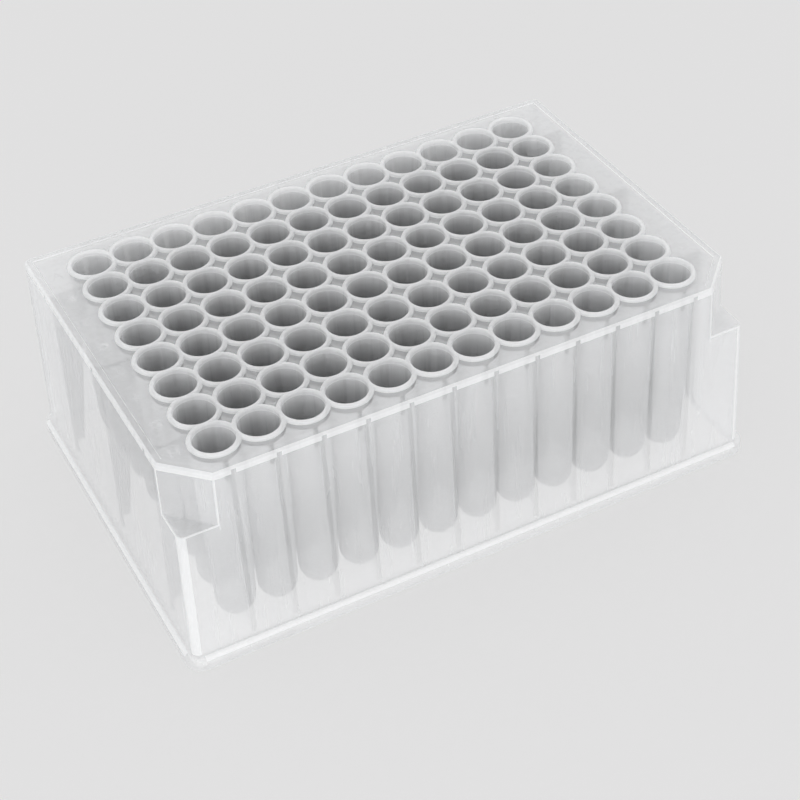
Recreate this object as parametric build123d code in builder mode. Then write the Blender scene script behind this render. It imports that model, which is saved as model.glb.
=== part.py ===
"""Deep well plate: 96 round, U-bottom wells in one translucent polypropylene moulding.

Millimetres, +Z up. The origin is on the table, in the middle of the footprint: X runs along the
twelve columns and Y from row H, in front, to row A. One closed solid is the whole plate: a drafted
skirt on a base flange, a deck with a raised lip, the wells hanging from the deck with a raised rim
round each mouth, and gusset ribs that tie the deck to the skirt. The skirt is open below.
"""

from build123d import *
from math import radians, tan
import os

os.makedirs("parts", exist_ok=True)

# Well pattern
columns = 12
rows = 8
well_spacing = 9.0

# Footprint: from the axis of a corner well out to the base edge
end_offset = 14.38
side_offset = 11.24
base_corner_radius = 3.18

# Base flange, hollowed from below to seat on the lip of a plate it is stacked on
flange_height = 3.2
flange_reach = 1.33
flange_edge_radius = 0.8
seat_height = 2.0

# Skirt
skirt_wall = 1.2
skirt_draft = 1.5
skirt_corner_radius = 1.5

# Deck, its raised lip and the well rims, all measured from the table or from the deck
plate_height = 45.5
rim_height = 0.65
deck_thickness = 1.2
lip_height = 0.25
lip_width = 1.7
lip_edge_radius = 0.45

# Wells, inside: mouth at the rim's crest, spring line of the round bottom, and the floor
mouth_radius = 4.12
bottom_radius = 3.2
floor_height = 2.25
rim_bevel = 0.18

# Wells, outside: one wall thickness at the sides and one under the round bottom
well_wall = 0.85
floor_wall = 1.0

# Notches at the two front corners
notch_leg = 8.0
notch_depth = 12.0
notch_edge_radius = 0.5

# Gusset ribs: thickness, how far each reaches along the deck and at its foot, and the fin below it
rib_thickness = 1.0
rib_foot_height = 6.0
fin_depth = 0.6
fin_foot_height = 2.8
side_rib_reach = 3.2
side_rib_foot = 1.4
end_rib_reach = 6.6
end_rib_foot = 2.1
end_ribs = 3
end_rib_spacing = 3 * well_spacing

# Sizes that follow from those above
span_length = (columns - 1) * well_spacing
span_width = (rows - 1) * well_spacing
base_length = span_length + 2 * end_offset
base_width = span_width + 2 * side_offset
deck_height = plate_height - rim_height
lip_top = deck_height + lip_height
deck_underside = deck_height - deck_thickness
ledge_height = lip_top - notch_depth
ledge_underside = ledge_height - deck_thickness


def skirt_half(base_size, height):
    """Half the skirt's outside length or width at a height, narrowing upward with its draft."""
    return base_size / 2 - flange_reach - (height - flange_height) * tan(radians(skirt_draft))


def skirt_outline(height, inset, notched):
    """The skirt's outline at a height, moved inward by an inset, with or without the notches."""
    half_length = skirt_half(base_length, height)
    half_width = skirt_half(base_width, height)
    with BuildSketch(Plane.XY.offset(height)) as outline:
        Rectangle(2 * half_length, 2 * half_width)
        back = outline.vertices().group_by(Axis.Y)[-1]
        front = outline.vertices().group_by(Axis.Y)[0]
        fillet(back if notched else back + front, skirt_corner_radius)
        if notched:
            front = outline.vertices().group_by(Axis.Y)[0]
            chamfer(front, notch_leg)
            cut = outline.vertices().filter_by(lambda v: v.Y < 0)
            fillet(cut, notch_edge_radius)
        if inset > 0:
            offset(amount=-inset, kind=Kind.INTERSECTION, mode=Mode.REPLACE)
    return outline.sketch


def drafted_block(low, high, inset, notched):
    """A block between two heights with the skirt's outline and draft."""
    with BuildPart() as block:
        add(skirt_outline(low, inset, notched))
        add(skirt_outline(high, inset, notched))
        loft()
    return block.part


def well_plug(crest_radius, spring_radius, bottom, crest, bevel):
    """A well-shaped solid about Z: a cone on a hemisphere, with a bevel at its upper edge.

    A positive bevel narrows the upper edge, as outside a rim, and a negative one widens it.
    """
    spring = bottom + spring_radius
    with BuildPart() as plug:
        with BuildSketch(Plane.XZ):
            with BuildLine():
                Polyline(
                    (spring_radius, spring),
                    (crest_radius, crest - abs(bevel)),
                    (crest_radius - bevel, crest),
                    (0, crest),
                    (0, bottom),
                )
                RadiusArc((0, bottom), (spring_radius, spring), -spring_radius)
            make_face()
        revolve(axis=Axis.Z)
    return plug.part


def rib(base_size, reach, foot):
    """A gusset rib on the XZ plane: X runs outward, and its outer edge lies in the skirt wall.

    The free edge runs from the deck down to the foot, and a narrow fin carries on below it.
    """
    bite = skirt_wall / 2
    wall_top = skirt_half(base_size, deck_underside) - skirt_wall
    wall_foot = skirt_half(base_size, fin_foot_height) - skirt_wall
    web_top = deck_underside + deck_thickness / 2
    with BuildPart() as web:
        with BuildSketch(Plane.XZ.offset(-rib_thickness / 2)):
            with BuildLine():
                Polyline(
                    (wall_top - reach, web_top),
                    (wall_top + bite, web_top),
                    (wall_foot + bite, fin_foot_height),
                    (wall_foot - fin_depth, fin_foot_height),
                    (wall_foot - fin_depth, rib_foot_height),
                    (wall_foot - foot, rib_foot_height),
                    (wall_top - reach, deck_underside),
                    close=True,
                )
            make_face()
        extrude(amount=rib_thickness)
    return web.part


def alternate_wells(turn):
    """The places of every other well, like the squares of one colour on a chessboard."""
    places = list(GridLocations(well_spacing, well_spacing, columns, rows))
    return [place for n, place in enumerate(places) if (n // rows + n % rows) % 2 == turn]


well_outside = well_plug(
    mouth_radius + well_wall,
    bottom_radius + well_wall,
    floor_height - floor_wall,
    plate_height,
    rim_bevel,
)
well_inside = well_plug(
    mouth_radius,
    bottom_radius,
    floor_height,
    plate_height,
    -rim_bevel,
)
end_rib = rib(base_length, end_rib_reach, end_rib_foot)
side_rib = rib(base_width, side_rib_reach, side_rib_foot)

with BuildPart() as flange:
    with BuildSketch():
        RectangleRounded(base_length, base_width, base_corner_radius)
    extrude(amount=flange_height)
    fillet(flange.faces().sort_by(Axis.Z)[-1].edges(), flange_edge_radius)

with BuildPart() as plate:
    # Skirt: full corners up to the ledges, notched front corners above them
    add(drafted_block(0, ledge_height, 0, False))
    add(drafted_block(ledge_height, lip_top, 0, True))
    fillet(plate.faces().sort_by(Axis.Z)[-1].edges(), lip_edge_radius)
    add(flange.part)

    # Hollow below the ledges and below the deck
    add(drafted_block(0, ledge_underside, skirt_wall, False), mode=Mode.SUBTRACT)
    add(drafted_block(ledge_underside, deck_underside, skirt_wall, True), mode=Mode.SUBTRACT)
    with BuildSketch():
        RectangleRounded(
            base_length - 2 * flange_reach,
            base_width - 2 * flange_reach,
            base_corner_radius - flange_reach,
        )
    extrude(amount=seat_height, mode=Mode.SUBTRACT)

    # Deck sunk inside its lip
    add(drafted_block(deck_height, lip_top, lip_width, True), mode=Mode.SUBTRACT)

    # Gusset ribs: one to each column on the long sides, three on each short side
    with PolarLocations(0, 2):
        with GridLocations(0, end_rib_spacing, 1, end_ribs):
            add(end_rib)
    with PolarLocations(0, 2, start_angle=90):
        with GridLocations(0, well_spacing, 1, columns):
            add(side_rib)

    # Wells: outsides in two passes, so that neighbours meet one at a time, then the bores
    for turn in (0, 1):
        with Locations(*alternate_wells(turn)):
            add(well_outside)
    with GridLocations(well_spacing, well_spacing, columns, rows):
        add(well_inside, mode=Mode.SUBTRACT)

plate.part.label = "deep_well_plate"
export_step(plate.part, "parts/deep_well_plate.step")
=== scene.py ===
"""Deep well plate in natural polypropylene, dressed over its CAD frame.

Sizes are in millimetres and repeat the CAD's; MM turns them into Blender's metres when a mesh is
written. The plate is put together as it is in CAD, from closed solids joined and cut, with the
round edges that the frame leaves out: full-round well rims, a step inside each mouth and fillets.
"""

from math import cos, pi, radians, sin, sqrt, tan

import bmesh
import bpy
from mathutils import Matrix, Vector


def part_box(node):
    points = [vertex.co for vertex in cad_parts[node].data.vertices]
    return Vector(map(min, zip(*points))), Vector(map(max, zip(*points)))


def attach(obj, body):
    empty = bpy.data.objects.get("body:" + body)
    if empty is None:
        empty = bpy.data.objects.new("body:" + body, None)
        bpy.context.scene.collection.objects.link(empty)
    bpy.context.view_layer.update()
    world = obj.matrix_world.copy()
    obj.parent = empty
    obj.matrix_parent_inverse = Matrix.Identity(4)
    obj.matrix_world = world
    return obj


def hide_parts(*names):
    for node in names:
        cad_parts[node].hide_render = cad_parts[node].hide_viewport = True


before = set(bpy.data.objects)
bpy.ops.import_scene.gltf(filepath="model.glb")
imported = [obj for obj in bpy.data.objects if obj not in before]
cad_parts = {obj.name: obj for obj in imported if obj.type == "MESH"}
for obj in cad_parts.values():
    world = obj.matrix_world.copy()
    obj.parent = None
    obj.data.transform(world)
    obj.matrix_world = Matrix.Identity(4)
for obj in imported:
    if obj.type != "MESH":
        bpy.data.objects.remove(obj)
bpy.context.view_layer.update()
MM = 0.001

# ---------------------------------------------------------------------------- sizes, millimetres
low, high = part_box("deep_well_plate")
base_length = (high[0] - low[0]) / MM
base_width = (high[1] - low[1]) / MM
plate_height = high[2] / MM

columns = 12
rows = 8
well_spacing = 9.0

base_corner_radius = 3.18
flange_height = 3.2
flange_reach = 1.33
flange_edge_radius = 0.8
foot_ease = 0.15
seat_height = 2.0

skirt_wall = 1.2
skirt_draft = radians(1.5)
skirt_corner_radius = 1.5

rim_height = 0.65
deck_thickness = 1.2
lip_height = 0.25
lip_width = 1.7
lip_edge_radius = 0.45
lip_ease = 0.15

mouth_radius = 4.12
bottom_radius = 3.2
floor_height = 2.25
well_wall = 0.85
floor_wall = 1.0
mouth_step_depth = 1.1
mouth_step_height = 0.1
mouth_step = 0.08
crest_height = 0.3
crest_width = 0.35
rim_foot_radius = 0.15
rim_foot_depth = 0.3

notch_leg = 8.0
notch_depth = 12.0
notch_edge_radius = 0.5
ledge_edge_radius = 0.25

rib_thickness = 1.0
rib_foot_height = 6.0
fin_depth = 0.6
fin_foot_height = 2.8
side_rib_reach = 3.2
side_rib_foot = 1.4
end_rib_reach = 6.6
end_rib_foot = 2.1
end_ribs = 3
end_rib_spacing = 3 * well_spacing

deck_height = plate_height - rim_height
lip_top = deck_height + lip_height
deck_underside = deck_height - deck_thickness
ledge_height = lip_top - notch_depth
ledge_underside = ledge_height - deck_thickness
end_rib_places = [(n - (end_ribs - 1) / 2) * end_rib_spacing for n in range(end_ribs)]
side_rib_places = [(n - (columns - 1) / 2) * well_spacing for n in range(columns)]

field_half_length = (columns - 1) / 2 * well_spacing + mouth_radius + well_wall
field_half_width = (rows - 1) / 2 * well_spacing + mouth_radius + well_wall
letter_size = 3.2
number_size = 2.0
mark_relief = 0.12

# ---------------------------------------------------------------------------- how meshes are made
turn_steps = 36
bottom_steps = 6
corner_steps = 4
round_steps = 4
mouth_steps = 3
rim_foot_steps = 2
letter_steps = 3
crest_start = 15
crest_gap = 10
least_radius = 0.1
overcut = 1
weld_distance = 0.0005
sharp_angle = radians(28)

# ---------------------------------------------------------------------------- polypropylene
tint = (0.985, 0.993, 1.0, 1)
refractive_index = 1.49
dull = 0.34
glossy = 0.22
glow_share = 0.25
facing_blend = 0.35
cloud_scale = 600
cloud_stretch = 0.08


# ---------------------------------------------------------------------------- closed solids
def mesh_object(name, points, faces, zones=None):
    """A mesh object from points in millimetres; zones names the finish of each face."""
    mesh = bpy.data.meshes.new(name)
    mesh.from_pydata([Vector(p) * MM for p in points], [], faces)
    if zones:
        for finish in finishes.values():
            mesh.materials.append(finish)
        slots = list(finishes)
        mesh.polygons.foreach_set("material_index", [slots.index(zone) for zone in zones])
    obj = bpy.data.objects.new(name, mesh)
    bpy.context.scene.collection.objects.link(obj)
    return obj


def ring_stack(name, rings, bands, corners="skirt"):
    """A closed solid through rings of points, from the lowest ring to the highest.

    bands names the finish between each ring and the next, with a band name of its own for the level
    of the deck, where the wall takes the rim finish as a painted highlight of light carried up
    through it, except where a rib meets it. The flat ends take the deck's finish.
    """
    count = len(rings[0])
    points = [point[:3] for ring in rings for point in ring]
    faces = [tuple(reversed(range(count)))]
    zones = ["deck"]
    for level, band in enumerate(bands):
        a = level * count
        b = a + count
        for i in range(count):
            j = (i + 1) % count
            faces.append((a + i, a + j, b + j, b + i))
            place = rings[level][i][3]
            if place == "corner":
                zones.append(corners)
            elif band == "deck_end":
                # painted highlight: between the ribs the deck's level takes the white rim finish, for
                # light carried up the wall
                zones.append("rim" if place == "open" else "skirt")
            else:
                zones.append(band)
    top = len(bands) * count
    faces.append(tuple(range(top, top + count)))
    zones.append("deck")
    return mesh_object(name, points, faces, zones)


def revolved(name, profile, places, body, painted_highlight_from):
    """Copies of one closed solid of revolution, from (radius, height) pairs between two poles.

    body names the finish up to the height given last, and the rim's finish follows above it, more
    opaque white as a painted highlight.
    """
    inner = profile[1:-1]
    points = []
    faces = []
    zones = []
    for x, y in places:
        start = len(points)
        points.append((x, y, profile[0][1]))
        for radius, height in inner:
            for step in range(turn_steps):
                turn = 2 * pi * step / turn_steps
                points.append((x + radius * cos(turn), y + radius * sin(turn), height))
        points.append((x, y, profile[-1][1]))
        last = len(points) - 1
        for step in range(turn_steps):
            after = (step + 1) % turn_steps
            faces.append((start, start + 1 + after, start + 1 + step))
            zones.append(body)
            for level in range(len(inner) - 1):
                a = start + 1 + level * turn_steps
                b = a + turn_steps
                faces.append((a + step, a + after, b + after, b + step))
                # painted highlight: faces above the given height take the more opaque white rim finish
                zones.append("rim" if inner[level][1] >= painted_highlight_from else body)
            a = last - turn_steps
            faces.append((a + step, a + after, last))
            zones.append("rim")
    return mesh_object(name, points, faces, zones)


def arc(centre, radius, start, end, steps):
    """Points on an arc, angles in degrees, ends included; radius may be a pair for an ellipse."""
    across, up = radius if isinstance(radius, tuple) else (radius, radius)
    turns = [radians(start + (end - start) * n / steps) for n in range(steps + 1)]
    return [(centre[0] + across * cos(t), centre[1] + up * sin(t)) for t in turns]


def rounding(top, radius):
    """Heights and insets going up a rounded top edge."""
    quarter = arc((0, top - radius), radius, 0, 90, round_steps)
    return [(height, radius - across) for across, height in quarter]


def combine(obj, other, operation):
    """Joins or cuts obj with another closed solid, which is then removed."""
    modifier = obj.modifiers.new("combine", "BOOLEAN")
    modifier.solver = "MANIFOLD"
    modifier.operation = operation
    modifier.object = other
    evaluated = obj.evaluated_get(bpy.context.evaluated_depsgraph_get())
    result = bpy.data.meshes.new_from_object(evaluated)
    obj.modifiers.clear()
    obj.data = result
    bpy.data.objects.remove(other)


# ---------------------------------------------------------------------------- skirt and deck
def skirt_half(base_size, height):
    """Half the skirt's outside length or width at a height, narrowing upward with its draft."""
    return base_size / 2 - flange_reach - (height - flange_height) * tan(skirt_draft)


def rounded_polygon(sides, height):
    """A ring of points round a convex polygon whose corners are rounded.

    Each side is (direction of its outward normal, distance from the axis, radius of the corner
    that ends it, places along it of the ribs behind it), in turning order. A point is (x, y, height,
    what lies between it and the next point: "corner", "rib" or "open").
    """
    ring = []
    half_rib = rib_thickness / 2
    for n, (angle, distance, radius, rib_places) in enumerate(sides):
        for place in rib_places:
            for along, label in ((place - half_rib, "rib"), (place + half_rib, "open")):
                x = distance * cos(angle) - along * sin(angle)
                y = distance * sin(angle) + along * cos(angle)
                ring.append((x, y, height, label))
        next_angle, next_distance = sides[(n + 1) % len(sides)][:2]
        bend = (next_angle - angle) % (2 * pi)
        reach = (next_distance - radius - (distance - radius) * cos(bend)) / sin(bend)
        centre_x = (distance - radius) * cos(angle) - reach * sin(angle)
        centre_y = (distance - radius) * sin(angle) + reach * cos(angle)
        for step in range(corner_steps + 1):
            turn = angle + bend * step / corner_steps
            label = "corner" if step < corner_steps else "open"
            ring.append((centre_x + radius * cos(turn), centre_y + radius * sin(turn), height, label))
    return ring


def skirt_ring(height, inset, notched, draft_height=None):
    """The skirt's outline moved inward, at a height; its draft may be taken at another height."""
    draft_at = height if draft_height is None else draft_height
    half_length = skirt_half(base_length, draft_at)
    half_width = skirt_half(base_width, draft_at)
    corner = max(skirt_corner_radius - inset, least_radius)
    edge = max(notch_edge_radius - inset, least_radius)
    diagonal = (half_length + half_width - notch_leg) / sqrt(2) - inset
    front_corner = edge if notched else corner
    right = (0, half_length - inset, corner, end_rib_places)
    back = (pi / 2, half_width - inset, corner, side_rib_places)
    left = (pi, half_length - inset, front_corner, end_rib_places)
    left_notch = (5 * pi / 4, diagonal, edge, ())
    front = (3 * pi / 2, half_width - inset, front_corner, side_rib_places)
    right_notch = (7 * pi / 4, diagonal, edge, ())
    if notched:
        return rounded_polygon([right, back, left, left_notch, front, right_notch], height)
    return rounded_polygon([right, back, left, front], height)


def block(name, heights, notched, edge_radius):
    """A drafted block through the given heights, its top edge rounded."""
    rings = [skirt_ring(height, 0, notched) for height in heights[:-1]]
    bands = ["skirt"] * (len(rings) - 1)
    top = heights[-1]
    for height, inset in rounding(top, edge_radius):
        rings.append(skirt_ring(height, inset, notched, top))
    # painted highlight: the rounded top edge and the corners take the edge finish, and on the notched
    # block the deck's level takes the rim finish between ribs
    bands += ["deck_end" if notched else "skirt"] + ["edge"] * round_steps
    return ring_stack(name, rings, bands, corners="edge")


def hollow(low_height, high_height, notched):
    """What is taken out of the skirt between two heights to leave its wall."""
    rings = [skirt_ring(height, skirt_wall, notched) for height in (low_height, high_height)]
    return ring_stack("hollow", rings, ["skirt"])


def recess():
    """What is taken out of the top to leave the lip, whose inner edge is eased."""
    heights = (deck_height, lip_top - lip_ease, lip_top, plate_height)
    insets = (lip_width, lip_width, lip_width - lip_ease, lip_width - lip_ease)
    rings = [skirt_ring(height, inset, True) for height, inset in zip(heights, insets)]
    # painted highlight: the lip's eased inner edge takes the rim finish
    return ring_stack("recess", rings, ["skirt", "rim", "skirt"])


def flange_ring(height, inset):
    """The base flange's outline moved inward, at a height."""
    radius = max(base_corner_radius - inset, least_radius)
    half_length = base_length / 2 - inset
    half_width = base_width / 2 - inset
    sides = [
        (0, half_length, radius, ()),
        (pi / 2, half_width, radius, ()),
        (pi, half_length, radius, ()),
        (3 * pi / 2, half_width, radius, ()),
    ]
    return rounded_polygon(sides, height)


def flange():
    """The base flange, its top edge rounded and its foot eased."""
    rings = [flange_ring(0, foot_ease), flange_ring(foot_ease, 0)]
    for height, inset in rounding(flange_height, flange_edge_radius):
        rings.append(flange_ring(height, inset))
    # painted highlight: the eased foot and the rounded top edge take the edge finish
    return ring_stack("flange", rings, ["edge", "skirt"] + ["edge"] * round_steps)


def seat():
    """What is taken out below the flange, to seat on the lip of a plate underneath."""
    rings = [flange_ring(-overcut, flange_reach), flange_ring(seat_height, flange_reach)]
    return ring_stack("seat", rings, ["skirt"])


# ---------------------------------------------------------------------------- ribs
def rib_points(base_size, reach, foot):
    """A rib's outline as (distance from the axis, height), outward along its wall and back."""
    bite = skirt_wall / 2
    wall_top = skirt_half(base_size, deck_underside) - skirt_wall
    wall_foot = skirt_half(base_size, fin_foot_height) - skirt_wall
    return [
        (wall_top - reach, deck_underside + deck_thickness / 2),
        (wall_top - reach, deck_underside),
        (wall_foot - foot, rib_foot_height),
        (wall_foot - fin_depth, rib_foot_height),
        (wall_foot - fin_depth, fin_foot_height),
        (wall_foot + bite, fin_foot_height),
        (wall_top + bite, deck_underside + deck_thickness / 2),
    ]


def ribs(finish, outline, places):
    """Copies of a flat rib; each place is (distance along the wall, wall's direction)."""
    points = []
    faces = []
    half = rib_thickness / 2
    count = len(outline)
    for along, direction in places:
        start = len(points)
        turned = Matrix.Rotation(direction, 4, "Z")
        for side in (-half, half):
            for reach, height in outline:
                points.append(tuple(turned @ Vector((reach, along + side, height))))
        faces.append(tuple(range(start, start + count)))
        faces.append(tuple(reversed(range(start + count, start + 2 * count))))
        for i in range(count):
            j = (i + 1) % count
            faces.append((start + i, start + count + i, start + count + j, start + j))
    return mesh_object("ribs", points, faces, [finish] * len(faces))


# ---------------------------------------------------------------------------- wells
def well_places(turn=None):
    """Centres of all the wells, or of every other one, like one colour of a chessboard."""
    return [
        ((column - (columns - 1) / 2) * well_spacing, (row - (rows - 1) / 2) * well_spacing)
        for column in range(columns)
        for row in range(rows)
        if turn is None or (column + row) % 2 == turn
    ]


def well_outside():
    """Profile of a well's outside: round bottom, cone, a small fillet at the deck and the rim.

    The rounded crest starts a few degrees up, where it leaves the wall.
    """
    radius = bottom_radius + well_wall
    spring = floor_height - floor_wall + radius
    crest = mouth_radius + well_wall
    foot = crest + rim_foot_radius
    profile = arc((0, spring), radius, -90, 0, bottom_steps)
    profile += [(crest, deck_height - 2 * rim_foot_depth), (foot, deck_height - rim_foot_depth)]
    profile += arc((foot, deck_height + rim_foot_radius), rim_foot_radius, 270, 180, rim_foot_steps)
    centre = (crest - crest_width, plate_height - crest_height)
    profile += arc(centre, (crest_width, crest_height), crest_start, 90, round_steps)
    profile += [(0, plate_height)]
    return profile


def well_inside():
    """Profile of a well's bore: round bottom, cone, the step in the mouth and the rim's inside.

    The rounded inside stops a few degrees short of the crest, where the cut goes straight up.
    """
    spring = floor_height + bottom_radius
    step = plate_height - mouth_step_depth
    profile = arc((0, spring), bottom_radius, -90, 0, bottom_steps)
    profile += [(mouth_radius - mouth_step, step - mouth_step_height), (mouth_radius, step)]
    profile += [(mouth_radius, plate_height - crest_height)]
    centre = (mouth_radius + crest_width, plate_height - crest_height)
    profile += arc(centre, (crest_width, crest_height), 180 - crest_start, 90 + crest_gap, mouth_steps)
    profile += [(profile[-1][0], plate_height + overcut), (0, plate_height + overcut)]
    return profile


# ---------------------------------------------------------------------------- the plate
def build_plate():
    """The whole moulding as one closed mesh."""
    plate = block("moulded_plate", (foot_ease, ledge_height), False, ledge_edge_radius)
    upper = block("upper", (ledge_underside, deck_underside, lip_top), True, lip_edge_radius)
    combine(plate, upper, "UNION")
    combine(plate, flange(), "UNION")
    combine(plate, hollow(-overcut, ledge_underside, False), "DIFFERENCE")
    combine(plate, hollow(ledge_underside - overcut, deck_underside, True), "DIFFERENCE")
    combine(plate, seat(), "DIFFERENCE")
    combine(plate, recess(), "DIFFERENCE")

    ends = [(place, direction) for direction in (0, pi) for place in end_rib_places]
    sides = [(place, direction) for direction in (pi / 2, 3 * pi / 2) for place in side_rib_places]
    end_outline = rib_points(base_length, end_rib_reach, end_rib_foot)
    side_outline = rib_points(base_width, side_rib_reach, side_rib_foot)
    combine(plate, ribs("end_rib", end_outline, ends), "UNION")
    combine(plate, ribs("side_rib", side_outline, sides), "UNION")

    for turn in (0, 1):
        wells = revolved("wells", well_outside(), well_places(turn), "well", deck_height)
        combine(plate, wells, "UNION")
    # painted highlight: the band in each bore's mouth, above the step, takes the rim finish
    mouth = plate_height - mouth_step_depth
    bores = revolved("bores", well_inside(), well_places(), "bore", mouth)
    combine(plate, bores, "DIFFERENCE")
    return plate


# ---------------------------------------------------------------------------- materials
def polypropylene(
    name, tone, cover, deep_painted_shade_tone=None, painted_shade_span=None, deep_cover=None, cover_span=None, streaks=0.01
):
    """Milky polypropylene that shows what is behind it.

    tone is its lightness, set darker for the deck and ribs as painted shade. cover is how much it
    hides of what is behind it, face on and at a glancing angle. A deep tone, which is painted shade
    that darkens the wells and bores toward their bottoms, or a deep cover holds below its span of
    heights and fades into the other one across that span. streaks is how far the lightness strays in
    lines drawn along the wells.
    """
    material = bpy.data.materials.new(name)
    material.use_nodes = True
    tree = material.node_tree
    tree.nodes.clear()
    node, link = tree.nodes.new, tree.links.new

    place = node("ShaderNodeTexCoord")
    split = node("ShaderNodeSeparateXYZ")
    link(place.outputs["Object"], split.inputs[0])

    def ramp(value, low_value, high_value, start=0.0, end=1.0):
        """low_value where value is at the start or below, rising to high_value at the end."""
        span = node("ShaderNodeMapRange")
        span.inputs["From Min"].default_value = start
        span.inputs["From Max"].default_value = end
        span.inputs["To Min"].default_value = low_value
        span.inputs["To Max"].default_value = high_value
        link(value, span.inputs["Value"])
        return span.outputs["Result"]

    def by_height(low_value, high_value, span):
        return ramp(split.outputs["Z"], low_value, high_value, span[0] * MM, span[1] * MM)

    drawn = node("ShaderNodeMapping")
    drawn.inputs["Scale"].default_value = (1, 1, cloud_stretch)
    link(place.outputs["Object"], drawn.inputs["Vector"])
    cloud = node("ShaderNodeTexNoise")
    cloud.inputs["Scale"].default_value = cloud_scale
    link(drawn.outputs["Vector"], cloud.inputs["Vector"])
    lightness = node("ShaderNodeMath")
    lightness.operation = "MULTIPLY"
    link(ramp(cloud.outputs["Fac"], 1 - streaks, 1 + streaks), lightness.inputs[0])
    # the deep tone is painted shade, darker toward the bottoms of the wells and bores
    if deep_painted_shade_tone is None:
        lightness.inputs[1].default_value = tone
    else:
        link(by_height(deep_painted_shade_tone, tone, painted_shade_span), lightness.inputs[1])
    colour = node("ShaderNodeHueSaturation")
    colour.inputs["Color"].default_value = tint
    link(lightness.outputs[0], colour.inputs["Value"])

    skin = node("ShaderNodeBsdfPrincipled")
    skin.inputs["IOR"].default_value = refractive_index
    link(colour.outputs["Color"], skin.inputs["Base Color"])
    link(ramp(cloud.outputs["Fac"], glossy, dull), skin.inputs["Roughness"])
    glow = node("ShaderNodeBsdfTranslucent")
    link(colour.outputs["Color"], glow.inputs["Color"])
    milk = node("ShaderNodeMixShader")
    milk.inputs["Fac"].default_value = glow_share
    link(skin.outputs[0], milk.inputs[1])
    link(glow.outputs[0], milk.inputs[2])

    facing = node("ShaderNodeLayerWeight")
    facing.inputs["Blend"].default_value = facing_blend
    hiding = node("ShaderNodeMapRange")
    link(facing.outputs["Facing"], hiding.inputs["Value"])
    if deep_cover is None:
        hiding.inputs["To Min"].default_value = cover[0]
        hiding.inputs["To Max"].default_value = cover[1]
    else:
        link(by_height(deep_cover[0], cover[0], cover_span), hiding.inputs["To Min"])
        link(by_height(deep_cover[1], cover[1], cover_span), hiding.inputs["To Max"])
    clear = node("ShaderNodeBsdfTransparent")
    body = node("ShaderNodeMixShader")
    link(hiding.outputs["Result"], body.inputs["Fac"])
    link(clear.outputs[0], body.inputs[1])
    link(milk.outputs[0], body.inputs[2])
    output = node("ShaderNodeOutputMaterial")
    link(body.outputs[0], output.inputs["Surface"])
    return material


def showing(tree):
    """An output that is 1 for the rays that show the background, and 0 for those that carry light."""
    path = tree.nodes.new("ShaderNodeLightPath")
    shown = path.outputs["Is Camera Ray"]
    for kind in ("Is Glossy Ray", "Is Transmission Ray"):
        either = tree.nodes.new("ShaderNodeMath")
        either.operation = "MAXIMUM"
        tree.links.new(shown, either.inputs[0])
        tree.links.new(path.outputs[kind], either.inputs[1])
        shown = either.outputs[0]
    return shown


def floor_material(tone, shine, light_share, shown_share):
    """A plain pale floor, lit a little from below like a light table, that keeps the plate's shadow."""
    material = bpy.data.materials.new("pale_floor")
    material.use_nodes = True
    tree = material.node_tree
    node, link = tree.nodes.new, tree.links.new
    skin = tree.nodes["Principled BSDF"]
    skin.inputs["Base Color"].default_value = (tone, tone, tone, 1)
    skin.inputs["Roughness"].default_value = 0.9
    skin.inputs["Specular IOR Level"].default_value = 0.1
    light = node("ShaderNodeEmission")
    light.inputs["Color"].default_value = (shine, shine, shine, 1)
    share = node("ShaderNodeMapRange")
    share.inputs["To Min"].default_value = light_share
    share.inputs["To Max"].default_value = shown_share
    mix = node("ShaderNodeMixShader")
    link(showing(tree), share.inputs["Value"])
    link(share.outputs["Result"], mix.inputs["Fac"])
    link(skin.outputs[0], mix.inputs[1])
    link(light.outputs[0], mix.inputs[2])
    link(mix.outputs[0], tree.nodes["Material Output"].inputs["Surface"])
    return material


# ---------------------------------------------------------------------------- marks and finish
def raised_marks():
    """Row letters beside the first column and column numbers behind the first row, in low relief."""
    letter_x = -(skirt_half(base_length, deck_height) - lip_width + field_half_length) / 2
    number_y = (skirt_half(base_width, deck_height) - lip_width + field_half_width) / 2
    labels = [
        (chr(ord("A") + row), letter_x, ((rows - 1) / 2 - row) * well_spacing, letter_size)
        for row in range(rows)
    ]
    labels += [
        (str(column + 1), (column - (columns - 1) / 2) * well_spacing, number_y, number_size)
        for column in range(columns)
    ]
    joined = bmesh.new()
    for text, x, y, size in labels:
        curve = bpy.data.curves.new("mark", "FONT")
        curve.body = text
        curve.size = size * MM
        curve.extrude = mark_relief / 2 * MM
        curve.resolution_u = letter_steps
        curve.align_x = "CENTER"
        curve.align_y = "CENTER"
        mark = bpy.data.objects.new("mark", curve)
        mesh = bpy.data.meshes.new_from_object(mark)
        mesh.transform(Matrix.Translation(Vector((x, y, deck_height + mark_relief / 2)) * MM))
        joined.from_mesh(mesh)
        bpy.data.objects.remove(mark)
    bmesh.ops.remove_doubles(joined, verts=joined.verts, dist=weld_distance * MM)
    mesh = bpy.data.meshes.new("raised_marks")
    joined.to_mesh(mesh)
    joined.free()
    mesh.materials.clear()
    mesh.materials.append(finishes["skirt"])
    marks = bpy.data.objects.new("raised_marks", mesh)
    bpy.context.scene.collection.objects.link(marks)
    return marks


def smooth_mesh(obj):
    """Smooth shading that keeps the real edges sharp and the flats flat."""
    mesh = bmesh.new()
    mesh.from_mesh(obj.data)
    bmesh.ops.remove_doubles(mesh, verts=mesh.verts, dist=weld_distance * MM)
    for edge in mesh.edges:
        edge.smooth = len(edge.link_faces) == 2 and edge.calc_face_angle() < sharp_angle
    for face in mesh.faces:
        face.smooth = True
    mesh.to_mesh(obj.data)
    mesh.free()
    weighted = obj.modifiers.new("flats", "WEIGHTED_NORMAL")
    weighted.keep_sharp = True


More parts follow.
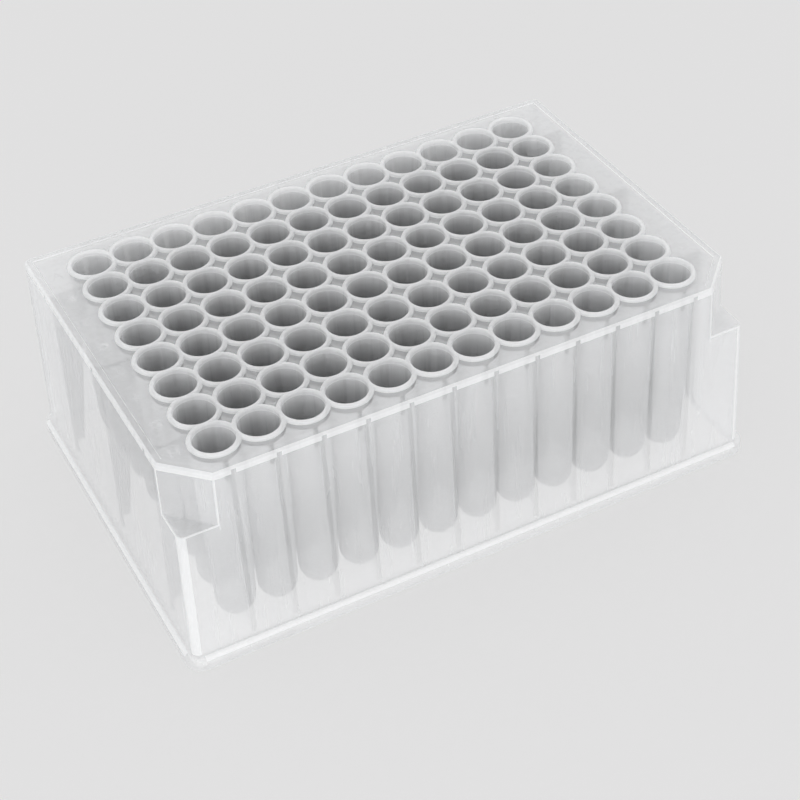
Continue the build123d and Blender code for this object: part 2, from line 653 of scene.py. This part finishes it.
# ---------------------------------------------------------------------------- scene
def add_camera():
    """The camera, given by what it aims at, how far off it is, and its angles."""
    target = Vector((0.31, -6.61, 15.03)) * MM
    distance = 386.49 * MM
    azimuth = radians(25.68)
    elevation = radians(39.88)
    roll = radians(3.19)
    forward = Vector((sin(azimuth) * cos(elevation), cos(azimuth) * cos(elevation), -sin(elevation)))
    data = bpy.data.cameras.new("camera")
    data.lens = 82.89
    data.clip_start = 0.01
    camera = bpy.data.objects.new("camera", data)
    turn = forward.to_track_quat("-Z", "Y").to_matrix().to_4x4()
    camera.matrix_world = (
        Matrix.Translation(target - forward * distance) @ Matrix.Rotation(roll, 4, forward) @ turn
    )
    bpy.context.scene.collection.objects.link(camera)
    bpy.context.scene.camera = camera


def add_floor(size, drop):
    """A wide pale floor, dropped a hair so that it doesn't lie in the plate's own lowest faces."""
    corners = [(-size, -size, -drop), (size, -size, -drop), (size, size, -drop), (-size, size, -drop)]
    floor = mesh_object("floor", corners, [(0, 1, 2, 3)])
    finish = floor_material(tone=0.80, shine=0.73, light_share=0.85, shown_share=0.8)
    floor.data.materials.append(finish)


def add_softbox(name, place, size, power):
    """A square lamp at a place in millimetres, facing the plate."""
    data = bpy.data.lights.new(name, "AREA")
    data.size = size * MM
    data.energy = power
    lamp = bpy.data.objects.new(name, data)
    lamp.location = Vector(place) * MM
    lamp.rotation_euler = (-lamp.location).to_track_quat("-Z", "Y").to_euler()
    bpy.context.scene.collection.objects.link(lamp)


def add_world(strength, backdrop):
    """Soft white light from all round, and the pale backdrop that is seen in its place."""
    world = bpy.data.worlds.new("studio")
    world.use_nodes = True
    tree = world.node_tree
    level = tree.nodes.new("ShaderNodeMapRange")
    level.inputs["To Min"].default_value = strength
    level.inputs["To Max"].default_value = backdrop
    background = tree.nodes["Background"]
    background.inputs["Color"].default_value = (1, 1, 1, 1)
    tree.links.new(showing(tree), level.inputs["Value"])
    tree.links.new(level.outputs["Result"], background.inputs["Strength"])
    bpy.context.scene.world = world


finishes = {
    "skirt": polypropylene("skirt_polypropylene", tone=0.97, cover=(0.24, 0.34)),
    # painted shade: the deck is the skirt's plastic set darker, standing in for the shade among the
    # rims
    "deck": polypropylene("deck_painted_shade_polypropylene", tone=0.88, cover=(0.22, 0.6)),
    # painted shade: the ribs are the skirt's plastic set much darker, standing in for the shade in the
    # hollow under the deck
    "side_rib": polypropylene("side_rib_painted_shade_polypropylene", tone=0.6, cover=(0.14, 0.22)),
    "end_rib": polypropylene("end_rib_painted_shade_polypropylene", tone=0.64, cover=(0.36, 0.5)),
    # painted shade: the outsides of the wells darken toward their bottoms, below the given span of
    # heights
    "well": polypropylene(
        "well_painted_shade_polypropylene",
        tone=0.97,
        cover=(0.6, 0.75),
        deep_painted_shade_tone=0.7,
        painted_shade_span=(18, 34),
        deep_cover=(0.48, 0.9),
        cover_span=(20, 34),
    ),
    # painted shade: the bores darken steeply below the mouth, standing in for the shade deep inside
    # each well
    "bore": polypropylene(
        "bore_painted_shade_polypropylene",
        tone=0.9,
        cover=(0.6, 0.85),
        deep_painted_shade_tone=0.27,
        painted_shade_span=(37, 46),
        deep_cover=(0.12, 0.2),
        cover_span=(30, 37),
        streaks=0.15,
    ),
    # painted highlight: the rim finish is made more opaque white, standing in for light carried through
    # the rims
    "rim": polypropylene("rim_painted_highlight_polypropylene", tone=0.96, cover=(0.62, 1.0)),
    # painted highlight: the edge finish is made more opaque white, like the rim finish, on rounded
    # edges and corners
    "edge": polypropylene("edge_painted_highlight_polypropylene", tone=0.97, cover=(0.6, 0.95)),
}
plate = build_plate()
smooth_mesh(plate)
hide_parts("deep_well_plate")
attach(plate, "root")
marks = raised_marks()
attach(marks, "root")

add_floor(size=3000, drop=0.02)
add_camera()
add_world(strength=1.0, backdrop=0.73)
add_softbox("front", place=(-300, -560, 130), size=300, power=1.3)
bpy.context.scene.cycles.transparent_max_bounces = 16
bpy.context.scene.cycles.denoising_input_passes = "RGB_ALBEDO"
bpy.context.scene.view_settings.view_transform = "Standard"
